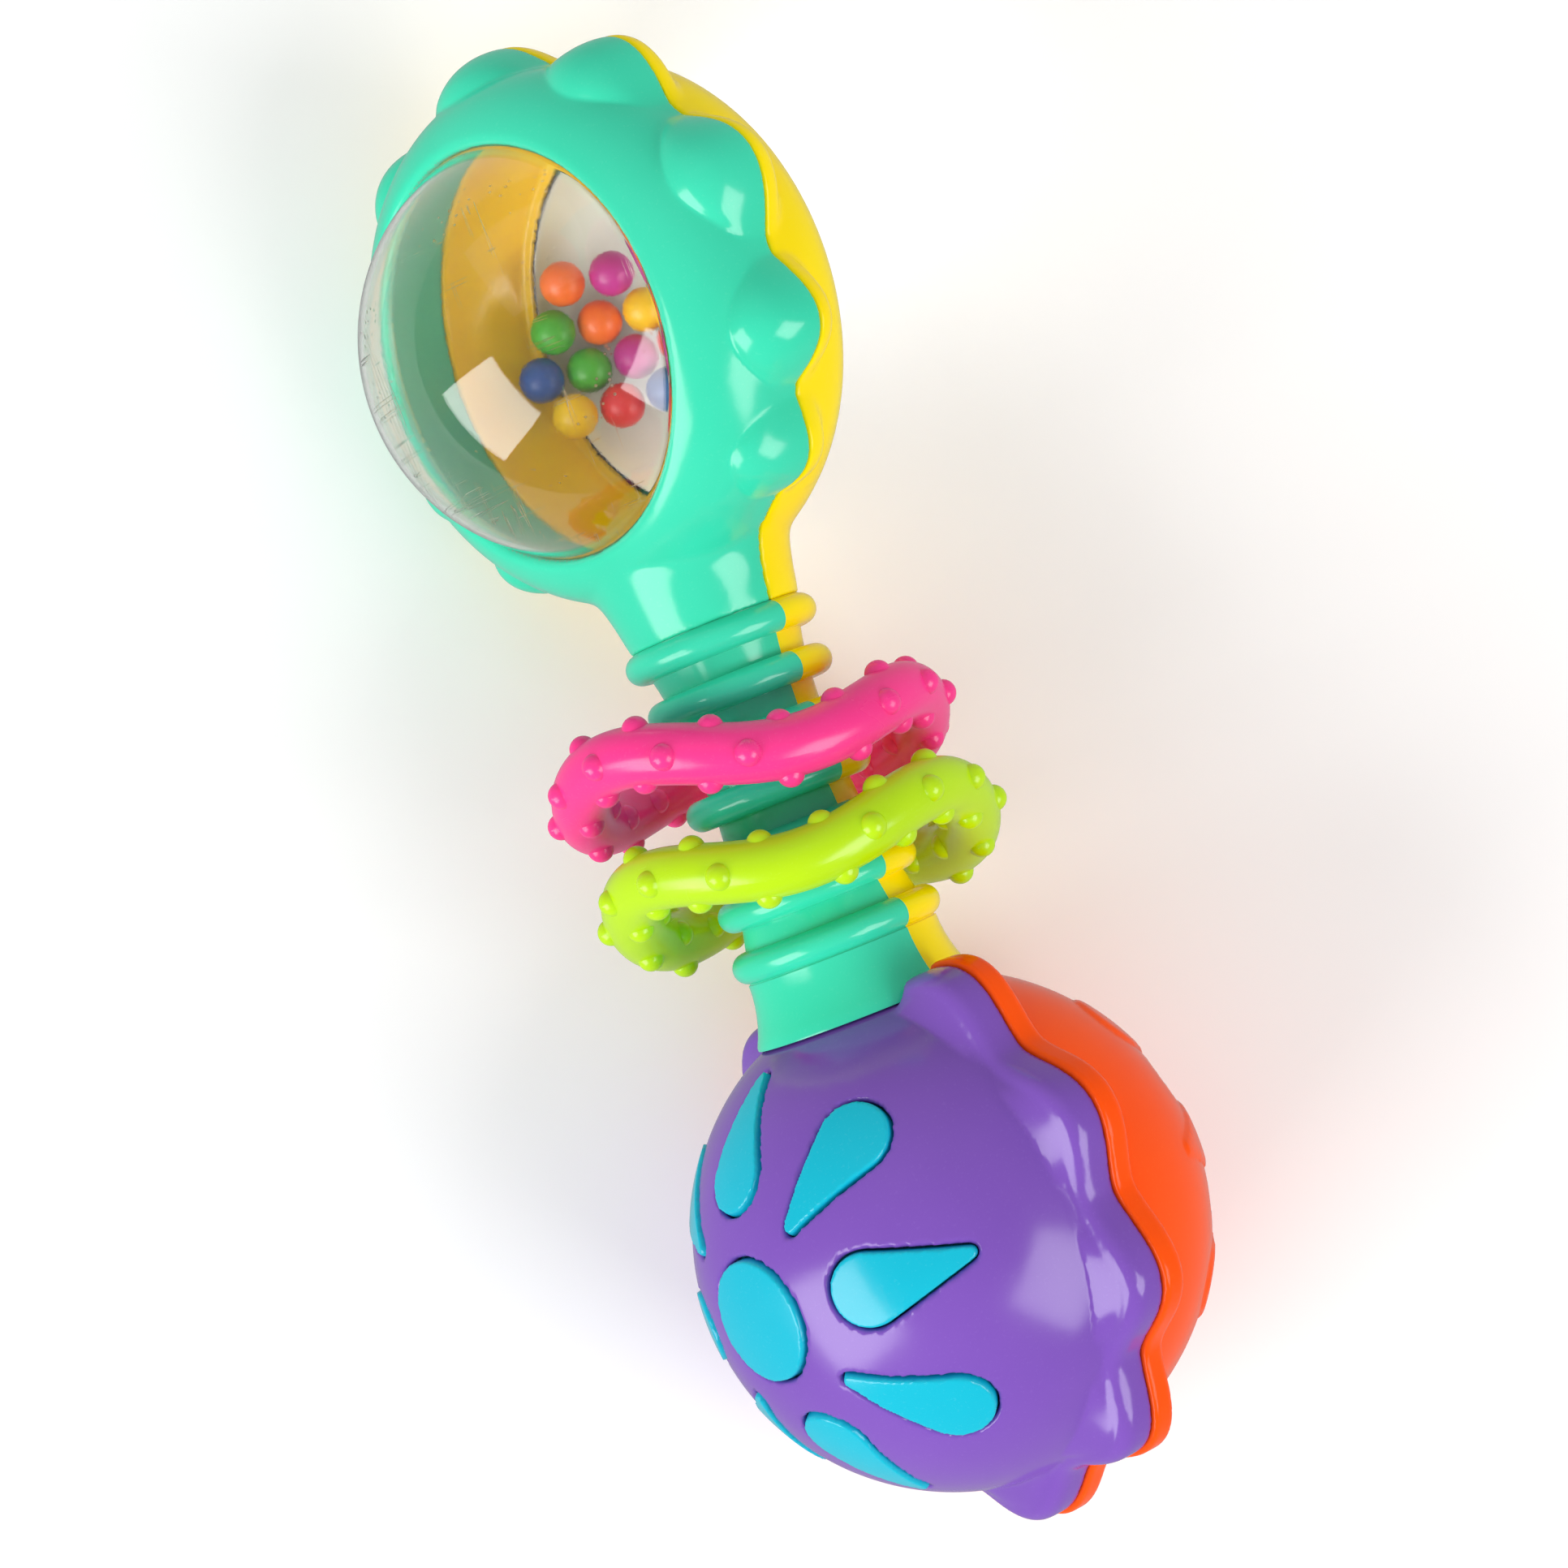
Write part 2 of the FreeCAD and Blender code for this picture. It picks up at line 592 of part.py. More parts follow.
def build():
    """Every node by name, in the toy's own frame; the ball and its swivel are turned together."""
    nodes = {
        "front_shell": half_shell(0.0),
        "rear_shell": mirrored(half_shell(HEAD_REAR_STEP)),
        "front_window": window(FRONT_DOME_TOP),
        "rear_window": mirrored(window(REAR_DOME_TOP)),
        "pink_ring": grab_ring(PINK_RING),
        "lime_ring": grab_ring(LIME_RING),
        "ball_front_shell": ball_front(),
        "ball_rear_shell": ball_rear(),
        "petal_liner": petal_liner(),
        "swivel_shaft": swivel_shaft(),
        "click_wheel": click_wheel(),
        "wheel_screw": wheel_screw(),
        "thrust_washer": thrust_washer(),
        "click_pawl": click_pawl(),
        "ball_screws": Part.makeCompound([screw(x, y) for x, y in screw_places()]),
    }
    for name in BALL_SIDE:
        nodes[name].rotate(ORIGIN, Y_AXIS, BALL_TWIST)
    for number, place in enumerate(BEADS, 1):
        nodes["bead_%02d" % number] = Part.makeSphere(BEAD_R, bead_centre(place))
    return nodes


def to_table(nodes):
    """The placement that lays the toy on the table, its box centred over the origin."""
    roll = FreeCAD.Rotation(Y_AXIS, REST_ROLL)
    pitch = FreeCAD.Rotation(X_AXIS, REST_PITCH)
    turn = FreeCAD.Placement(ORIGIN, pitch.multiply(roll))
    box = FreeCAD.BoundBox()
    for shape in nodes.values():
        laid = shape.copy()
        laid.transformShape(turn.toMatrix())
        box.add(laid.optimalBoundingBox(True, False))
    centre = Vector((box.XMin + box.XMax) / 2, (box.YMin + box.YMax) / 2, box.ZMin)
    return FreeCAD.Placement(centre * -1, turn.Rotation)


def main():
    nodes = build()
    placement = to_table(nodes)
    for name, shape in nodes.items():
        laid = shape.copy()
        laid.transformShape(placement.toMatrix())
        laid.exportStep("parts/%s.step" % name)
        print(name, "valid", laid.isValid(), "solids", len(laid.Solids), "volume", round(laid.Volume, 1))
    return nodes, placement


NODES, PLACEMENT = main()
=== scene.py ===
import json
from math import asin, cos, pi, radians, sin, sqrt

import bmesh
import bpy
import numpy as np
from mathutils import Euler, Matrix, Vector


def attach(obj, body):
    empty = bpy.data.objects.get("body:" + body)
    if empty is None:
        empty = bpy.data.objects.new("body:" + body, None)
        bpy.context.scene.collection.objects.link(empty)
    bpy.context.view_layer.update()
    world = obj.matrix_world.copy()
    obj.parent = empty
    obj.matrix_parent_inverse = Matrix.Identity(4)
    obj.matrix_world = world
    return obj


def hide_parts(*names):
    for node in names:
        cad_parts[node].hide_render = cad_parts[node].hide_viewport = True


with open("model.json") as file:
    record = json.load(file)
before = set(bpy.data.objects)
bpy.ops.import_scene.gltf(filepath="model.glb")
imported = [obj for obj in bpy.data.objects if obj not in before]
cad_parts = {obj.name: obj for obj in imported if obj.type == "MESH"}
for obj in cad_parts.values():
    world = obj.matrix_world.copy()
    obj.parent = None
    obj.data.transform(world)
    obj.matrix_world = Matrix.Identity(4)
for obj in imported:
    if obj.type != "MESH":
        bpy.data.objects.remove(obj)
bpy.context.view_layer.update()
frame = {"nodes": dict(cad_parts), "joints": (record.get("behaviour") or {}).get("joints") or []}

# ---- the toy's own frame -------------------------------------------------------------
# Its origin is the ball's middle, X runs across the handle, Y along it to the head and Z
# out of the head's face. Its lengths are millimetres; the scene is in metres.

MM = 0.001
ROLL = radians(-47.75)
BALL_TURN = radians(-6.0)


def joint(name):
    """A joint of the model by its name."""
    return next(j for j in frame["joints"] if j["name"] == name)


BALL = Vector(joint("ball_twist")["pos_m"])
ALONG = Vector(joint("ball_twist")["axis"]).normalized()
RISE = Vector(joint("bead_01_hop")["axis"]).normalized()
ASIDE = ALONG.cross(RISE)
ACROSS = ASIDE * cos(ROLL) - RISE * sin(ROLL)
OUT = ASIDE * sin(ROLL) + RISE * cos(ROLL)
LAY = Matrix.Translation(BALL) @ Matrix((ACROSS, ALONG, OUT)).transposed().to_4x4() @ Matrix.Scale(MM, 4)
BALL_LAY = LAY @ Matrix.Rotation(BALL_TURN, 4, "Y")

# ---- sizes in the toy's own frame ----------------------------------------------------

HEAD_Y = 115.0
HEAD_R = 32.3
HEAD_MIDDLE = np.array([0.0, HEAD_Y, 0.0])
CHAMBER_R = 28.8
CHAMBER_TOP_Z = 12.9
# Each scallop's middle and half width in degrees and its height; the left side mirrors the right.
HEAD_BUMPS = [(90.0, 19.5, 3.8), (53.0, 17.5, 4.3), (17.4, 18.1, 4.7), (-16.0, 15.3, 4.9),
              (-43.5, 13.5, 3.0)]
# The valleys between the scallops lie this much inside the head's own outline.
RIM_SUNK = 0.4
# The scallops start here along the handle, and rise to a crease on each half.
RIM_START_Y = 84.0
MINT_CREASE_Z = 8.8
YELLOW_CREASE_Z = 4.2
# The head's side wall is an arc round this middle, seen in section.
WALL_MID_R = 21.45
WALL_MID_Z = 3.54
WALL_ARC = 10.87
# The scallops' skin is worked up to this height on the wall.
LOBE_ROOM_Z = 9.4
# Both handle halves are cut here, in the crease above the ribs.
CUT_Y = 77.6
# The windows' domes stand on this rim; their edge is tucked below it.
WINDOW_RIM_R = 24.65
WINDOW_RIM_Z = 12.7
WINDOW_BASE_Z = 11.9
WINDOW_WALL = 0.6
FRONT_TOP_Z = 29.95
BACK_TOP_Z = 27.5

BALL_R = 31.0
PETAL_R = 31.35
BALL_VALLEY_R = 32.0
BALL_CREST_R = 36.0
BALL_SCALLOPS = 10
# The purple rim slopes up to its crease on the ball; the orange one is a plain flange.
PURPLE_CREASE_Z = 6.2
ORANGE_FLANGE = 3.2
ORANGE_RIM_Z = 3.6
ORANGE_LIP = 0.6
# The ball keeps clear of the handle's collar within this radius.
COLLAR_ROOM_R = 14.6

# A rim's edge is eased up to this height above the parting.
EDGE_Z = 0.5
# Points nearer than this, in metres, are one.
WELD = 0.000002
# Edges that turn by more than this stay crisp.
SHARP_FROM = radians(28.0)
# The width of the even quads in each worked skin.
SHELL_GRAIN = 0.38
BALL_GRAIN = 0.42
PETAL_GRAIN = 0.3
# How finely each section is drawn.
LOBE_STEPS = 12
WALL_STEPS = 5
FLANGE_STEPS = 8
DOME_STEPS = 32
DOME_TURNS = 128


# ---- materials ----------------------------------------------------------------------

def colour(red, green, blue):
    """A display colour, 0 to 255, as linear light."""
    channels = [c / 255 for c in (red, green, blue)]
    return [c / 12.92 if c <= 0.04045 else ((c + 0.055) / 1.055) ** 2.4 for c in channels] + [1.0]


def add_node(tree, kind, settings=None, **values):
    """A node with its settings and inputs, each by name or as i0, i1 ..., a value or a socket to link."""
    node = tree.nodes.new(kind)
    for key, value in (settings or {}).items():
        setattr(node, key, value)
    for key, value in values.items():
        name = key.replace("_", " ")
        numbered = name[0] == "i" and name[1:].isdigit()
        socket = node.inputs[int(name[1:]) if numbered else name]
        if isinstance(value, bpy.types.NodeSocket):
            tree.links.new(value, socket)
        else:
            socket.default_value = value
    return node


def new_group(name, inputs, outputs):
    """An empty shader group with named sockets, its input node and its output node."""
    tree = bpy.data.node_groups.new(name, "ShaderNodeTree")
    for label, kind, value in inputs:
        socket = tree.interface.new_socket(name=label, in_out="INPUT", socket_type="NodeSocket" + kind)
        socket.default_value = value
    for label, kind in outputs:
        tree.interface.new_socket(name=label, in_out="OUTPUT", socket_type="NodeSocket" + kind)
    return tree, tree.nodes.new("NodeGroupInput"), tree.nodes.new("NodeGroupOutput")


def noise(tree, place, scale, detail, **values):
    """Soft noise over a place, its scale in waves to the metre."""
    return add_node(tree, "ShaderNodeTexNoise", None, Vector=place, Scale=scale, Detail=detail, **values)


def span(tree, value, low, high, to_low=0.0, to_high=1.0):
    """The value's stretch from low to high, laid on another stretch and held at its ends."""
    node = add_node(tree, "ShaderNodeMapRange", {"interpolation_type": "SMOOTHSTEP"}, Value=value)
    node.inputs["From Min"].default_value = low
    node.inputs["From Max"].default_value = high
    node.inputs["To Min"].default_value = to_low
    node.inputs["To Max"].default_value = to_high
    return node.outputs["Result"]


def maths(tree, operation, first, second):
    """One sum on two values that may be sockets."""
    return add_node(tree, "ShaderNodeMath", {"operation": operation}, i0=first, i1=second).outputs[0]


def blend_colour(tree, share, first, second):
    """Two colours mixed by a share that may be a socket."""
    node = tree.nodes.new("ShaderNodeMix")
    node.data_type = "RGBA"
    for socket, value in ((node.inputs[0], share), (node.inputs[6], first), (node.inputs[7], second)):
        if isinstance(value, bpy.types.NodeSocket):
            tree.links.new(value, socket)
        else:
            socket.default_value = value
    return node.outputs[2]


def pigment_group():
    """Moulded colour: slow drift of the pigment and fine speckle."""
    tree, given, out = new_group(
        "pigment_flow",
        [("Colour", "Color", (1, 1, 1, 1)), ("Deep", "Color", (0.5, 0.5, 0.5, 1)),
         ("Pale", "Color", (1, 1, 1, 1)), ("Drift", "Float", 0.3)],
        [("Colour", "Color")])
    place = add_node(tree, "ShaderNodeTexCoord").outputs["Object"]
    drift = span(tree, noise(tree, place, 45.0, 3.0).outputs["Fac"], 0.32, 0.72)
    speckle = span(tree, noise(tree, place, 2600.0, 2.0).outputs["Fac"], 0.58, 0.75)
    deep_share = maths(tree, "MULTIPLY", drift, given.outputs["Drift"])
    mixed = blend_colour(tree, deep_share, given.outputs["Colour"], given.outputs["Deep"])
    fleck_share = maths(tree, "MULTIPLY", speckle, 0.05)
    mixed = blend_colour(tree, fleck_share, mixed, given.outputs["Pale"])
    tree.links.new(mixed, out.inputs["Colour"])
    return tree


def skin_group():
    """A moulded skin: faint orange peel, hairline scratches both ways and dull handled patches."""
    tree, given, out = new_group(
        "moulded_skin",
        [("Polish", "Float", 0.2), ("Handling", "Float", 0.12), ("Scratches", "Float", 0.4)],
        [("Roughness", "Float"), ("Height", "Float")])
    place = add_node(tree, "ShaderNodeTexCoord").outputs["Object"]
    lines = []
    for turn, stretch in ((0.6, (1500.0, 26.0, 40.0)), (-0.9, (36.0, 1300.0, 30.0))):
        turned = add_node(tree, "ShaderNodeMapping", None, Vector=place,
                          Rotation=(turn, turn * 0.6, turn), Scale=stretch).outputs[0]
        thread = noise(tree, turned, 1.0, 1.0).outputs["Fac"]
        away = maths(tree, "ABSOLUTE", maths(tree, "SUBTRACT", thread, 0.62), 0.0)
        lines.append(span(tree, away, 0.002, 0.007, 1.0, 0.0))
    where = span(tree, noise(tree, place, 110.0, 2.0).outputs["Fac"], 0.55, 0.66)
    scratch = maths(tree, "MULTIPLY", maths(tree, "MAXIMUM", lines[0], lines[1]), where)
    scratch = maths(tree, "MULTIPLY", scratch, given.outputs["Scratches"])
    dull = span(tree, noise(tree, place, 60.0, 4.0, Distortion=0.4).outputs["Fac"], 0.42, 0.75)
    dull = maths(tree, "MULTIPLY", dull, given.outputs["Handling"])
    marks = maths(tree, "ADD", dull, maths(tree, "MULTIPLY", scratch, 0.35))
    rough = maths(tree, "ADD", given.outputs["Polish"], marks)
    tree.links.new(rough, out.inputs["Roughness"])
    peel = noise(tree, place, 420.0, 1.0).outputs["Fac"]
    grain = noise(tree, place, 5200.0, 2.0).outputs["Fac"]
    height = maths(tree, "ADD", maths(tree, "MULTIPLY", peel, 0.5), maths(tree, "MULTIPLY", grain, 0.10))
    height = maths(tree, "SUBTRACT", height, maths(tree, "MULTIPLY", scratch, 0.6))
    tree.links.new(height, out.inputs["Height"])
    return tree


PIGMENT = pigment_group()
SKIN = skin_group()


def use_group(tree, group, **values):
    """A shader group placed in a material with its own values."""
    node = add_node(tree, "ShaderNodeGroup", {"node_tree": group})
    for name, value in values.items():
        node.inputs[name].default_value = value
    return node


def new_material(name):
    """A material, its node tree and its main shader."""
    material = bpy.data.materials.new(name)
    material.use_nodes = True
    return material, material.node_tree, material.node_tree.nodes["Principled BSDF"]


def raise_skin(tree, shader, skin, distance):
    """Let the skin's height stand off the surface by a distance in metres."""
    bump = add_node(tree, "ShaderNodeBump", None, Height=skin.outputs["Height"], Distance=distance,
                    Strength=1.0)
    tree.links.new(bump.outputs["Normal"], shader.inputs["Normal"])


def plastic(name, base, deep, pale, polish=0.16, handling=0.08, drift=0.35, peel=0.00002, scratches=0.1,
            through=0.0, gleam=0.5):
    """A glossy moulded plastic in one colour, with its deeper and paler tones."""
    material, tree, shader = new_material(name)
    tint = use_group(tree, PIGMENT, Colour=colour(*base), Deep=colour(*deep), Pale=colour(*pale),
                     Drift=drift)
    skin = use_group(tree, SKIN, Polish=polish, Handling=handling, Scratches=scratches)
    tree.links.new(tint.outputs["Colour"], shader.inputs["Base Color"])
    tree.links.new(skin.outputs["Roughness"], shader.inputs["Roughness"])
    raise_skin(tree, shader, skin, peel)
    shader.inputs["IOR"].default_value = 1.5
    shader.inputs["Specular IOR Level"].default_value = gleam
    if through:
        shader.inputs["Subsurface Weight"].default_value = through
        shader.inputs["Subsurface Radius"].default_value = (1.0, 0.8, 0.6)
        shader.inputs["Subsurface Scale"].default_value = 0.0015
    return material


def clear_plastic():
    """The window's clear plastic, with rubbed patches, hairlines and specks of dust."""
    material, tree, shader = new_material("clear_styrene")
    place = add_node(tree, "ShaderNodeTexCoord").outputs["Object"]
    specks = add_node(tree, "ShaderNodeTexVoronoi", {"feature": "F1"}, Vector=place, Scale=700.0)
    near = span(tree, specks.outputs["Distance"], 0.10, 0.20, 1.0, 0.0)
    patch = span(tree, noise(tree, place, 90.0, 3.0).outputs["Fac"], 0.52, 0.66)
    dust = maths(tree, "MULTIPLY", near, patch)
    skin = use_group(tree, SKIN, Polish=0.02, Handling=0.05, Scratches=1.0)
    dust_share = maths(tree, "MULTIPLY", dust, 0.3)
    tone = blend_colour(tree, dust_share, colour(250, 249, 246), colour(205, 200, 190))
    tree.links.new(tone, shader.inputs["Base Color"])
    rough = maths(tree, "ADD", skin.outputs["Roughness"], dust_share)
    tree.links.new(rough, shader.inputs["Roughness"])
    raise_skin(tree, shader, skin, 0.00001)
    shader.inputs["Transmission Weight"].default_value = 1.0
    shader.inputs["IOR"].default_value = 1.49
    lets_light = add_node(tree, "ShaderNodeBsdfTransparent", None, Color=(0.93, 0.93, 0.92, 1.0))
    path = add_node(tree, "ShaderNodeLightPath")
    mix = add_node(tree, "ShaderNodeMixShader", None, Fac=path.outputs["Is Shadow Ray"])
    tree.links.new(shader.outputs[0], mix.inputs[1])
    tree.links.new(lets_light.outputs[0], mix.inputs[2])
    tree.links.new(mix.outputs[0], tree.nodes["Material Output"].inputs["Surface"])
    return material


def screw_steel():
    """Bright zinc-plated steel with a turned grain."""
    material, tree, shader = new_material("zinc_steel")
    skin = use_group(tree, SKIN, Polish=0.26, Handling=0.2, Scratches=1.0)
    tint = use_group(tree, PIGMENT, Colour=colour(196, 198, 202), Deep=colour(150, 152, 156),
                     Pale=colour(235, 236, 238), Drift=0.6)
    tree.links.new(tint.outputs["Colour"], shader.inputs["Base Color"])
    tree.links.new(skin.outputs["Roughness"], shader.inputs["Roughness"])
    raise_skin(tree, shader, skin, 0.00004)
    shader.inputs["Metallic"].default_value = 1.0
    return material


MINT = plastic("mint_shell", (58, 216, 176), (34, 206, 164), (150, 245, 220), through=0.12)
YELLOW = plastic("yellow_shell", (255, 228, 0), (255, 214, 0), (255, 244, 130), through=0.1, gleam=0.2)
# Darker, muted copies of the mint and yellow for the chamber's walls: painted shade inside the head.
MINT_SHADED = plastic("mint_painted_shade", (104, 196, 164), (84, 178, 146), (150, 205, 185))
YELLOW_SHADED = plastic("yellow_painted_shade", (255, 206, 20), (255, 184, 4), (255, 222, 90))
PURPLE = plastic("purple_shell", (124, 80, 182), (112, 70, 170), (178, 140, 228), through=0.04)
ORANGE = plastic("orange_shell", (255, 84, 4), (248, 72, 2), (255, 150, 60), through=0.05, gleam=0.2)
CYAN = plastic("cyan_petal", (2, 184, 208), (0, 172, 198), (140, 228, 240), through=0.05, gleam=0.4)
PINK = plastic("pink_rubber", (252, 56, 144), (240, 40, 126), (255, 150, 200), polish=0.22, through=0.08)
LIME = plastic("lime_rubber", (188, 230, 2), (170, 216, 0), (226, 250, 120), polish=0.22, through=0.08)
NYLON = plastic("white_nylon", (232, 230, 222), (214, 210, 200), (250, 250, 248), polish=0.4)
CLEAR = clear_plastic()
STEEL = screw_steel()

BEAD_TONES = {
    "orange": ((250, 112, 28), (236, 92, 18)), "magenta": ((196, 44, 150), (172, 32, 130)),
    "yellow": ((250, 200, 12), (238, 182, 4)), "green": ((76, 176, 52), (56, 154, 40)),
    "blue": ((52, 88, 166), (40, 70, 144)), "red": ((232, 52, 60), (212, 38, 48))}
BEADS = {
    name: plastic(name + "_bead", base, deep, (250, 236, 226), polish=0.36, handling=0.16, drift=0.6,
                  peel=0.00006, through=0.1)
    for name, (base, deep) in BEAD_TONES.items()}


# ---- mesh work -----------------------------------------------------------------------

def new_piece(name, mesh, material, body, slot, *nodes):
    """Put a finished mesh in the scene as a piece that stands for its CAD nodes."""
    mesh.materials.clear()
    mesh.materials.append(material)
    mesh.polygons.foreach_set("use_smooth", [True] * len(mesh.polygons))
    mesh.name = name
    piece = bpy.data.objects.new(name, mesh)
    bpy.context.scene.collection.objects.link(piece)
    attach(piece, body)
    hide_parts(*nodes)
    return piece


def welded(node):
    """A CAD node's shape as one closed skin, open for work."""
    part = bmesh.new()
    part.from_mesh(frame["nodes"][node].data)
    bmesh.ops.remove_doubles(part, verts=part.verts, dist=WELD)
    return part


def finished(part, name):
    """The mesh of a part whose work is done."""
    mesh = bpy.data.meshes.new(name)
    part.to_mesh(mesh)
    part.free()
    return mesh


def welded_copy(node):
    """A CAD node's mesh as one closed skin."""
    return finished(welded(node), node)


def cut_copy(node, keep_head):
    """A handle half's head or its barrel, cut at the crease above the ribs and closed there."""
    part = welded(node)
    bmesh.ops.bisect_plane(part, geom=part.verts[:] + part.edges[:] + part.faces[:], dist=0.0000001,
                           plane_co=LAY @ Vector((0, CUT_Y, 0)), plane_no=ALONG, clear_inner=keep_head,
                           clear_outer=not keep_head)
    open_edges = [edge for edge in part.edges if edge.is_boundary]
    bmesh.ops.triangle_fill(part, use_beauty=True, edges=open_edges)
    bmesh.ops.recalc_face_normals(part, faces=part.faces)
    for edge in part.edges:
        edge.smooth = edge.calc_face_angle(0.0) < SHARP_FROM
    return finished(part, node)


def even_skin(source, grain):
    """A shape as one skin of even quads, ready to be worked like clay."""
    blank = bpy.data.objects.new("blank", source)
    bpy.context.scene.collection.objects.link(blank)
    remesh = blank.modifiers.new("skin", "REMESH")
    remesh.mode = "VOXEL"
    remesh.voxel_size = grain * MM
    skin = bpy.data.meshes.new_from_object(blank.evaluated_get(bpy.context.evaluated_depsgraph_get()))
    bpy.data.objects.remove(blank)
    return skin


def own_points(mesh, lay):
    """A mesh's points in a part's own frame, in millimetres."""
    points = np.empty(len(mesh.vertices) * 3)
    mesh.vertices.foreach_get("co", points)
    into = np.array(lay.inverted())
    return points.reshape(-1, 3) @ into[:3, :3].T + into[:3, 3]


def put_points(mesh, lay, points):
    """Carry a mesh's points back from a part's own frame."""
    out = np.array(lay)
    mesh.vertices.foreach_set("co", (points @ out[:3, :3].T + out[:3, 3]).ravel())
    mesh.update()


def smooth_step(low, high, value):
    """A soft step from 0 at the low value to 1 at the high one."""
    t = np.clip((value - low) / (high - low), 0.0, 1.0)
    return t * t * (3.0 - 2.0 * t)


def eased(mesh, points, rounds, share=1.0):
    """Draw each point towards its neighbours, by a share that may differ from point to point."""
    edges = np.empty(len(mesh.edges) * 2, np.int64)
    mesh.edges.foreach_get("vertices", edges)
    first, second = edges.reshape(-1, 2).T
    count = len(points)
    near = np.bincount(first, minlength=count) + np.bincount(second, minlength=count)
    pull = 0.5 * np.broadcast_to(share, (count,))[:, None]
    for _ in range(rounds):
        total = np.stack([np.bincount(first, points[second, k], count) +
                          np.bincount(second, points[first, k], count) for k in range(3)], axis=1)
        points = points + pull * (total / near[:, None] - points)
    return points


def to_line(rho, height, line):
    """The nearest places on each point's own broken line."""
    best = np.full(rho.shape, 1e9)
    place = np.stack([rho, height], axis=1)
    found = place.copy()
    corners = [np.stack([np.broadcast_to(r, rho.shape), np.broadcast_to(z, rho.shape)], axis=1)
               for r, z in line]
    for a, b in zip(corners[:-1], corners[1:]):
        d = b - a
        t = np.clip(((place - a) * d).sum(1) / np.maximum((d * d).sum(1), 1e-9), 0.0, 1.0)
        on = a + d * t[:, None]
        away = np.hypot(*(place - on).T)
        closer = away < best
        best = np.where(closer, away, best)
        found = np.where(closer[:, None], on, found)
    return found


def smooth_sphere(points, radius, above, over=0.1):
    """True up the points beyond a height that lie on a sphere, or up to a little over it."""
    reach = np.linalg.norm(points, axis=1)
    sunk = smooth_step(0.10, 0.22, radius - reach)
    proud = smooth_step(over, over + 0.12, reach - radius)
    share = (1.0 - np.maximum(sunk, proud)) * (points[:, 2] * above > above * above)
    return points * (1.0 + share * (radius / reach - 1.0))[:, None]


# ---- rims in section, from the parting up ---------------------------------------------

def ball_outline(angle):
    """How far the purple rim reaches at each angle round the ball."""
    swell = 0.5 + 0.5 * np.cos(BALL_SCALLOPS * (angle + pi / 2))
    return BALL_VALLEY_R + (BALL_CREST_R - BALL_VALLEY_R) * swell ** 0.85


def onto_line(points, side, line, keep):
    """Carry the kept points to the nearest places on their own broken lines in section."""
    rho = np.hypot(points[:, 0], points[:, 1])
    height = points[:, 2] * side
    found = to_line(rho, height, line)
    share = keep * (height > 0.05)
    scale = (rho + share * (found[:, 0] - rho)) / np.maximum(rho, 1e-6)
    height = height + share * (found[:, 1] - height)
    return np.stack([points[:, 0] * scale, points[:, 1] * scale, height * side], axis=1)


def parting_edge(outline):
    """The start of a rim's section, its small chamfer at the parting."""
    return [(outline - 0.5, 0.0), (outline - 0.15, 0.12), (outline, EDGE_Z)]


def wall_radius(height):
    """The head's side wall, seen in section."""
    return WALL_MID_R + np.sqrt(WALL_ARC ** 2 - np.clip(height - WALL_MID_Z, 0.0, 10.0) ** 2)


def lobe_line(outline, seam_z):
    """A scallop's section: one round swell from the parting up to a crease, then the wall behind."""
    seam_r = wall_radius(seam_z)
    line = parting_edge(outline)
    for step in range(LOBE_STEPS + 1):
        turn = step / LOBE_STEPS * pi / 2
        line.append((seam_r + (outline - seam_r) * cos(turn), EDGE_Z + (seam_z - EDGE_Z) * sin(turn)))
    for step in range(1, WALL_STEPS + 1):
        height = seam_z + (LOBE_ROOM_Z - seam_z) * step / WALL_STEPS
        line.append((wall_radius(height), height))
    return line


def flange_line(outline, width, thick, top, seam_r, seam_z):
    """A flange's section: a rolled edge, then a gentle slope up to the crease."""
    line = parting_edge(outline)
    for step in range(FLANGE_STEPS + 1):
        turn = step / FLANGE_STEPS * pi / 2
        line.append((outline - width + width * cos(turn), top - thick + thick * sin(turn)))
    line.append((seam_r, seam_z))
    return line


def collar_clear(points):
    """How far each point is out of the collar's room, from 0 inside to 1 clear of it."""
    from_axis = np.hypot(points[:, 0], points[:, 2])
    return smooth_step(COLLAR_ROOM_R, COLLAR_ROOM_R + 1.0, from_axis + 100.0 * (points[:, 1] < 0))


# ---- pieces --------------------------------------------------------------------------

def make_ball_front():
    """The purple half: a true dome with its petal openings and a sloped, scalloped rim."""
    mesh = even_skin(welded_copy("ball_front_shell"), BALL_GRAIN)
    points = eased(mesh, own_points(mesh, BALL_LAY), 5)
    free = collar_clear(points)[:, None]
    seam_r = sqrt(BALL_R ** 2 - PURPLE_CREASE_Z ** 2)
    on_rim = (np.linalg.norm(points, axis=1) > BALL_R + 0.05) * (points[:, 2] < PURPLE_CREASE_Z + 0.2)
    outline = ball_outline(np.arctan2(points[:, 1], points[:, 0]))
    width = np.minimum(2.0, 0.8 * (outline - seam_r))
    line = flange_line(outline, width, thick=2.3, top=4.8, seam_r=seam_r, seam_z=PURPLE_CREASE_Z)
    worked = smooth_sphere(points, BALL_R, PURPLE_CREASE_Z, 1.0)
    worked = onto_line(worked, 1.0, line, on_rim)
    below_crease = smooth_step(0.8, 1.6, PURPLE_CREASE_Z - worked[:, 2])
    above_parting = smooth_step(0.3, 0.8, worked[:, 2])
    worked = eased(mesh, worked, 3, on_rim * (below_crease * above_parting))
    put_points(mesh, BALL_LAY, points + free * (worked - points))
    new_piece("purple_dome", mesh, PURPLE, "ball", "purple_plastic", "ball_front_shell")


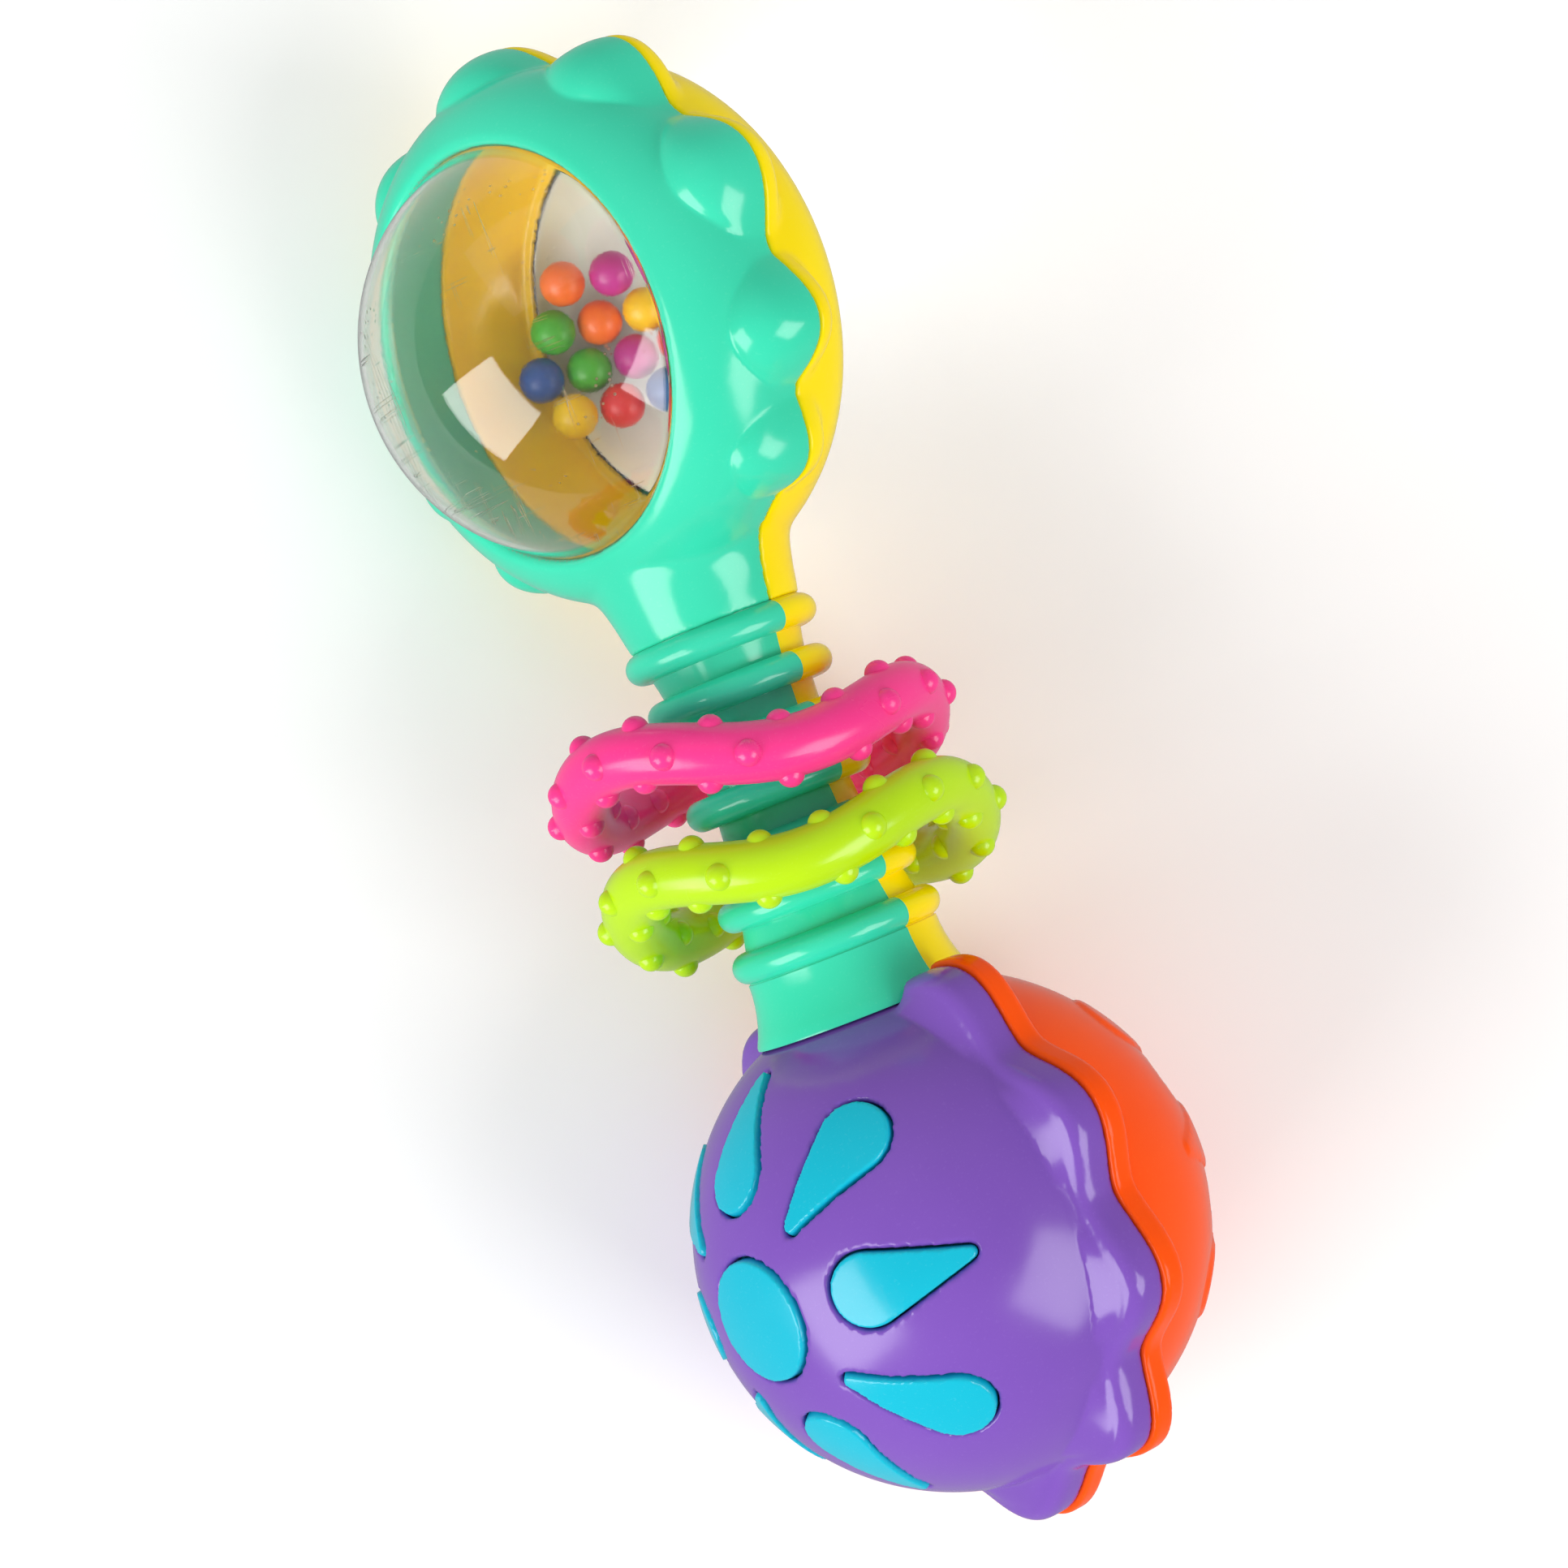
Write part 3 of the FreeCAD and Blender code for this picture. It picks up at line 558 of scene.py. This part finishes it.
def make_ball_rear():
    """The orange half: moulded petals and a plain scalloped flange, a little proud of the purple."""
    mesh = even_skin(welded_copy("ball_rear_shell"), BALL_GRAIN)
    points = eased(mesh, own_points(mesh, BALL_LAY), 4)
    free = collar_clear(points)[:, None]
    outline = ball_outline(np.arctan2(points[:, 1], points[:, 0])) + ORANGE_LIP
    on_rim = (np.linalg.norm(points, axis=1) > BALL_R + 0.05) * (points[:, 2] > -ORANGE_RIM_Z)
    line = flange_line(outline, width=1.1, thick=1.1, top=ORANGE_FLANGE, seam_r=BALL_R - 0.17,
                       seam_z=ORANGE_FLANGE)
    worked = smooth_sphere(points, BALL_R, -ORANGE_RIM_Z)
    worked = onto_line(worked, -1.0, line, on_rim)
    put_points(mesh, BALL_LAY, points + free * (worked - points))
    new_piece("orange_dome", mesh, ORANGE, "ball", "orange_plastic", "ball_rear_shell")


def make_petals():
    """The cyan moulding whose petals and disc come through the purple half."""
    mesh = even_skin(welded_copy("petal_liner"), PETAL_GRAIN)
    points = eased(mesh, own_points(mesh, BALL_LAY), 4)
    points = smooth_sphere(points, PETAL_R, 1.0)
    put_points(mesh, BALL_LAY, points)
    new_piece("cyan_petals", mesh, CYAN, "ball", "cyan_plastic", "petal_liner")


def scallops():
    """Every scallop round the head."""
    return HEAD_BUMPS + [(180.0 - crest, half, height) for crest, half, height in HEAD_BUMPS[1:]]


def head_swell(angle):
    """How far each angle round the head is into a scallop, from 0 between them to 1 on a crest."""
    turn = np.degrees(angle)
    swell = np.zeros_like(turn)
    for crest, half, _ in scallops():
        away = abs((turn - crest + 180.0) % 360.0 - 180.0)
        swell = np.maximum(swell, np.cos(np.minimum(away / half, 1.0) * pi / 2) ** 1.4)
    return swell


def rim_height(points):
    """The height of the scallop nearest to each point."""
    turn = np.degrees(np.arctan2(points[:, 1], points[:, 0]))
    nearest = np.full(turn.shape, 360.0)
    tall = np.zeros_like(turn)
    for crest, half, height in scallops():
        away = abs((turn - crest + 180.0) % 360.0 - 180.0) / half
        tall = np.where(away < nearest, height, tall)
        nearest = np.minimum(away, nearest)
    return tall


def make_shell(name, node, side, crease_z, material, inside, slot):
    """A half of the handle and head: crisp ribs, a blended neck and puffed scallops."""
    mesh = even_skin(cut_copy(node, True), SHELL_GRAIN)
    points = own_points(mesh, LAY)
    points = eased(mesh, points, 5, smooth_step(CUT_Y + 0.1, CUT_Y + 1.2, points[:, 1]))
    # The neck flows from the last rib into the head.
    from_head = np.hypot(points[:, 0], points[:, 1] - HEAD_Y)
    height = points[:, 2] * side
    in_neck = smooth_step(CUT_Y + 1.0, CUT_Y + 3.0, points[:, 1])
    in_neck = in_neck * (1.0 - smooth_step(HEAD_Y - 22.0, HEAD_Y - 16.0, points[:, 1]))
    outside = smooth_step(CHAMBER_R + 1.0, CHAMBER_R + 2.0, from_head) * smooth_step(0.1, 0.8, height)
    points = eased(mesh, points, 30, in_neck * outside)
    # The scallops are carried onto their round sections.
    centred = points - HEAD_MIDDLE
    swell = head_swell(np.arctan2(centred[:, 1], centred[:, 0]))
    seam_z = 0.8 + (crease_z - 0.8) * np.sqrt(swell)
    on_rim = (from_head > wall_radius(height) - 0.2) & (height < LOBE_ROOM_Z) & (swell > 0.02)
    on_rim = on_rim & (points[:, 1] > RIM_START_Y)
    outline = HEAD_R - RIM_SUNK + (rim_height(centred) + RIM_SUNK) * swell
    outline = np.maximum(outline, wall_radius(seam_z) + 0.02)
    worked = onto_line(centred, side, lobe_line(outline, seam_z), on_rim)
    points = worked + HEAD_MIDDLE
    points = eased(mesh, points, 5, on_rim * smooth_step(0.3, 1.0, height))
    put_points(mesh, LAY, points)
    # The ribs, barrel and collar keep their own crisp skin.
    joined = bmesh.new()
    joined.from_mesh(mesh)
    joined.from_mesh(cut_copy(node, False))
    joined.to_mesh(mesh)
    joined.free()
    new_piece(name, mesh, material, "handle", slot, node)
    # The chamber's walls take a darker, muted copy of the plastic as painted shade.
    mesh.materials.append(inside)
    paint_chamber_shade(mesh, side)


def paint_chamber_shade(mesh, side):
    """Give the chamber's walls, the faces that look at its middle, the second material: a darker, muted
    copy of the plastic that is painted shade.
    """
    count = len(mesh.polygons)
    middles = np.empty(count * 3)
    mesh.polygons.foreach_get("center", middles)
    facing = np.empty(count * 3)
    mesh.polygons.foreach_get("normal", facing)
    into = np.array(LAY.inverted())
    middles = middles.reshape(-1, 3) @ into[:3, :3].T + into[:3, 3] - HEAD_MIDDLE
    facing = facing.reshape(-1, 3) @ into[:3, :3].T * MM
    from_middle = np.hypot(*middles[:, :2].T)
    inward = (middles[:, :2] * facing[:, :2]).sum(1) / from_middle
    chamber = (from_middle < CHAMBER_R + 0.6) & ((inward < -0.3) | (facing[:, 2] * side < -0.3))
    chamber = chamber & (middles[:, 2] * side < CHAMBER_TOP_Z)
    # The chamber's faces get the darker copy, painted shade in the recess.
    mesh.polygons.foreach_set("material_index", chamber.astype(np.int32))


def make_window(name, node, side, top):
    """A clear dome turned from one arc, its edge tucked under the lip."""
    rise = top - WINDOW_RIM_Z
    radius = (WINDOW_RIM_R ** 2 + rise ** 2) / (2 * rise)
    centre_z = top - radius
    turned = bmesh.new()
    points = []
    outward, back = range(DOME_STEPS + 1), range(DOME_STEPS, -1, -1)
    for r, steps in ((radius, outward), (radius - WINDOW_WALL, back)):
        widest = asin(sqrt(1.0 - ((WINDOW_BASE_Z - centre_z) / r) ** 2))
        if WINDOW_BASE_Z < centre_z:
            widest = pi - widest
        for step in steps:
            turn = widest * step / DOME_STEPS
            points.append(turned.verts.new((r * sin(turn), 0.0, centre_z + r * cos(turn))))
    for a, b in zip(points[:-1], points[1:]):
        turned.edges.new((a, b))
    bmesh.ops.spin(turned, geom=turned.verts[:] + turned.edges[:], cent=(0, 0, 0), axis=(0, 0, 1),
                   angle=2 * pi, steps=DOME_TURNS, use_merge=True)
    bmesh.ops.remove_doubles(turned, verts=turned.verts, dist=0.0005)
    bmesh.ops.recalc_face_normals(turned, faces=turned.faces)
    if side < 0:
        bmesh.ops.rotate(turned, verts=turned.verts, cent=(0, 0, 0), matrix=Matrix.Rotation(pi, 3, "Y"))
    bmesh.ops.translate(turned, verts=turned.verts, vec=(0, HEAD_Y, 0))
    bmesh.ops.transform(turned, verts=turned.verts, matrix=LAY)
    new_piece(name, finished(turned, name), CLEAR, "handle", "clear_plastic", node)


make_ball_front()
make_ball_rear()
make_petals()
make_shell("mint_front", "front_shell", 1.0, MINT_CREASE_Z, MINT, MINT_SHADED, "mint_plastic")
make_shell("yellow_back", "rear_shell", -1.0, YELLOW_CREASE_Z, YELLOW, YELLOW_SHADED, "yellow_plastic")
make_window("clear_front", "front_window", 1.0, FRONT_TOP_Z)
make_window("clear_back", "rear_window", -1.0, BACK_TOP_Z)


def finish_node(node, material):
    """Give a CAD node that stays its own finish."""
    frame["nodes"][node].material_slots[0].material = material


finish_node("pink_ring", PINK)
finish_node("lime_ring", LIME)
for node in ("swivel_shaft", "click_wheel", "thrust_washer", "click_pawl"):
    finish_node(node, NYLON)
for node in ("wheel_screw", "ball_screws"):
    finish_node(node, STEEL)
BEAD_ORDER = "orange magenta yellow orange green green magenta red blue blue red yellow".split()
for number, tone in enumerate(BEAD_ORDER, 1):
    finish_node("bead_%02d" % number, BEADS[tone])


# ---- floor, light and camera, in metres ----------------------------------------------

FLOOR_HALF = 0.9
LIGHT_AIM = Vector((0, 0, 0.03))
LIGHT_DISTANCE = 1.2
FILL_STRENGTH = 0.40
BACKDROP_STRENGTH = 1.0
CAMERA_PLACE = LAY @ Vector((392.8, 54.0, 355.8))
CAMERA_TURNS = [radians(turn) for turn in (-0.792, -0.308, -21.354)]


def make_floor():
    """A pale floor that the toy lies on."""
    ground = bmesh.new()
    bmesh.ops.create_grid(ground, x_segments=1, y_segments=1, size=FLOOR_HALF)
    mesh = finished(ground, "floor")
    floor = bpy.data.objects.new("floor", mesh)
    bpy.context.scene.collection.objects.link(floor)
    white, tree, shader = new_material("white_sweep")
    place = add_node(tree, "ShaderNodeTexCoord").outputs["Object"]
    cloud = noise(tree, place, 6.0, 2.0).outputs["Fac"]
    tone = blend_colour(tree, cloud, (0.96, 0.96, 0.96, 1), (0.98, 0.98, 0.98, 1))
    tree.links.new(tone, shader.inputs["Base Color"])
    shader.inputs["Roughness"].default_value = 0.8
    shader.inputs["Specular IOR Level"].default_value = 0.2
    mesh.materials.append(white)
    floor.visible_glossy = False


def soft_box(name, toward, side, watts):
    """A square soft light that faces the middle of the toy."""
    lamp = bpy.data.lights.new(name, "AREA")
    lamp.shape = "RECTANGLE"
    lamp.size = side
    lamp.size_y = side
    lamp.energy = watts
    source = bpy.data.objects.new(name, lamp)
    direction = Vector(toward).normalized()
    source.location = LIGHT_AIM + direction * LIGHT_DISTANCE
    source.rotation_euler = direction.to_track_quat("Z", "Y").to_euler()
    bpy.context.scene.collection.objects.link(source)
    return source


def make_light():
    """A soft box on either side, a wide fill at the head's end and an even white sky."""
    soft_box("left_box", (-0.84, -0.26, 0.48), 0.83, 11.6)
    soft_box("right_box", (0.56, -0.52, 0.65), 0.74, 8.4)
    fill = soft_box("fill_box", (-0.10, 0.75, 0.65), 1.1, 2.8)
    fill.visible_glossy = False
    world = bpy.data.worlds.new("studio")
    bpy.context.scene.world = world
    world.use_nodes = True
    backdrop = world.node_tree.nodes["Background"]
    backdrop.inputs["Color"].default_value = (1.0, 1.0, 1.0, 1.0)
    seen = add_node(world.node_tree, "ShaderNodeLightPath").outputs["Is Camera Ray"]
    strength = span(world.node_tree, seen, 0.0, 1.0, FILL_STRENGTH, BACKDROP_STRENGTH)
    world.node_tree.links.new(strength, backdrop.inputs["Strength"])


def make_camera():
    """A long lens that looks down on the toy."""
    lens = bpy.data.cameras.new("camera")
    lens.sensor_width = 36.0
    lens.lens = 101.8
    lens.clip_start = 0.01
    lens.clip_end = 20.0
    camera = bpy.data.objects.new("camera", lens)
    camera.location = CAMERA_PLACE
    camera.rotation_euler = Euler(CAMERA_TURNS, "XYZ")
    bpy.context.scene.collection.objects.link(camera)
    bpy.context.scene.camera = camera


make_floor()
make_light()
make_camera()
bpy.context.scene.view_settings.view_transform = "Standard"
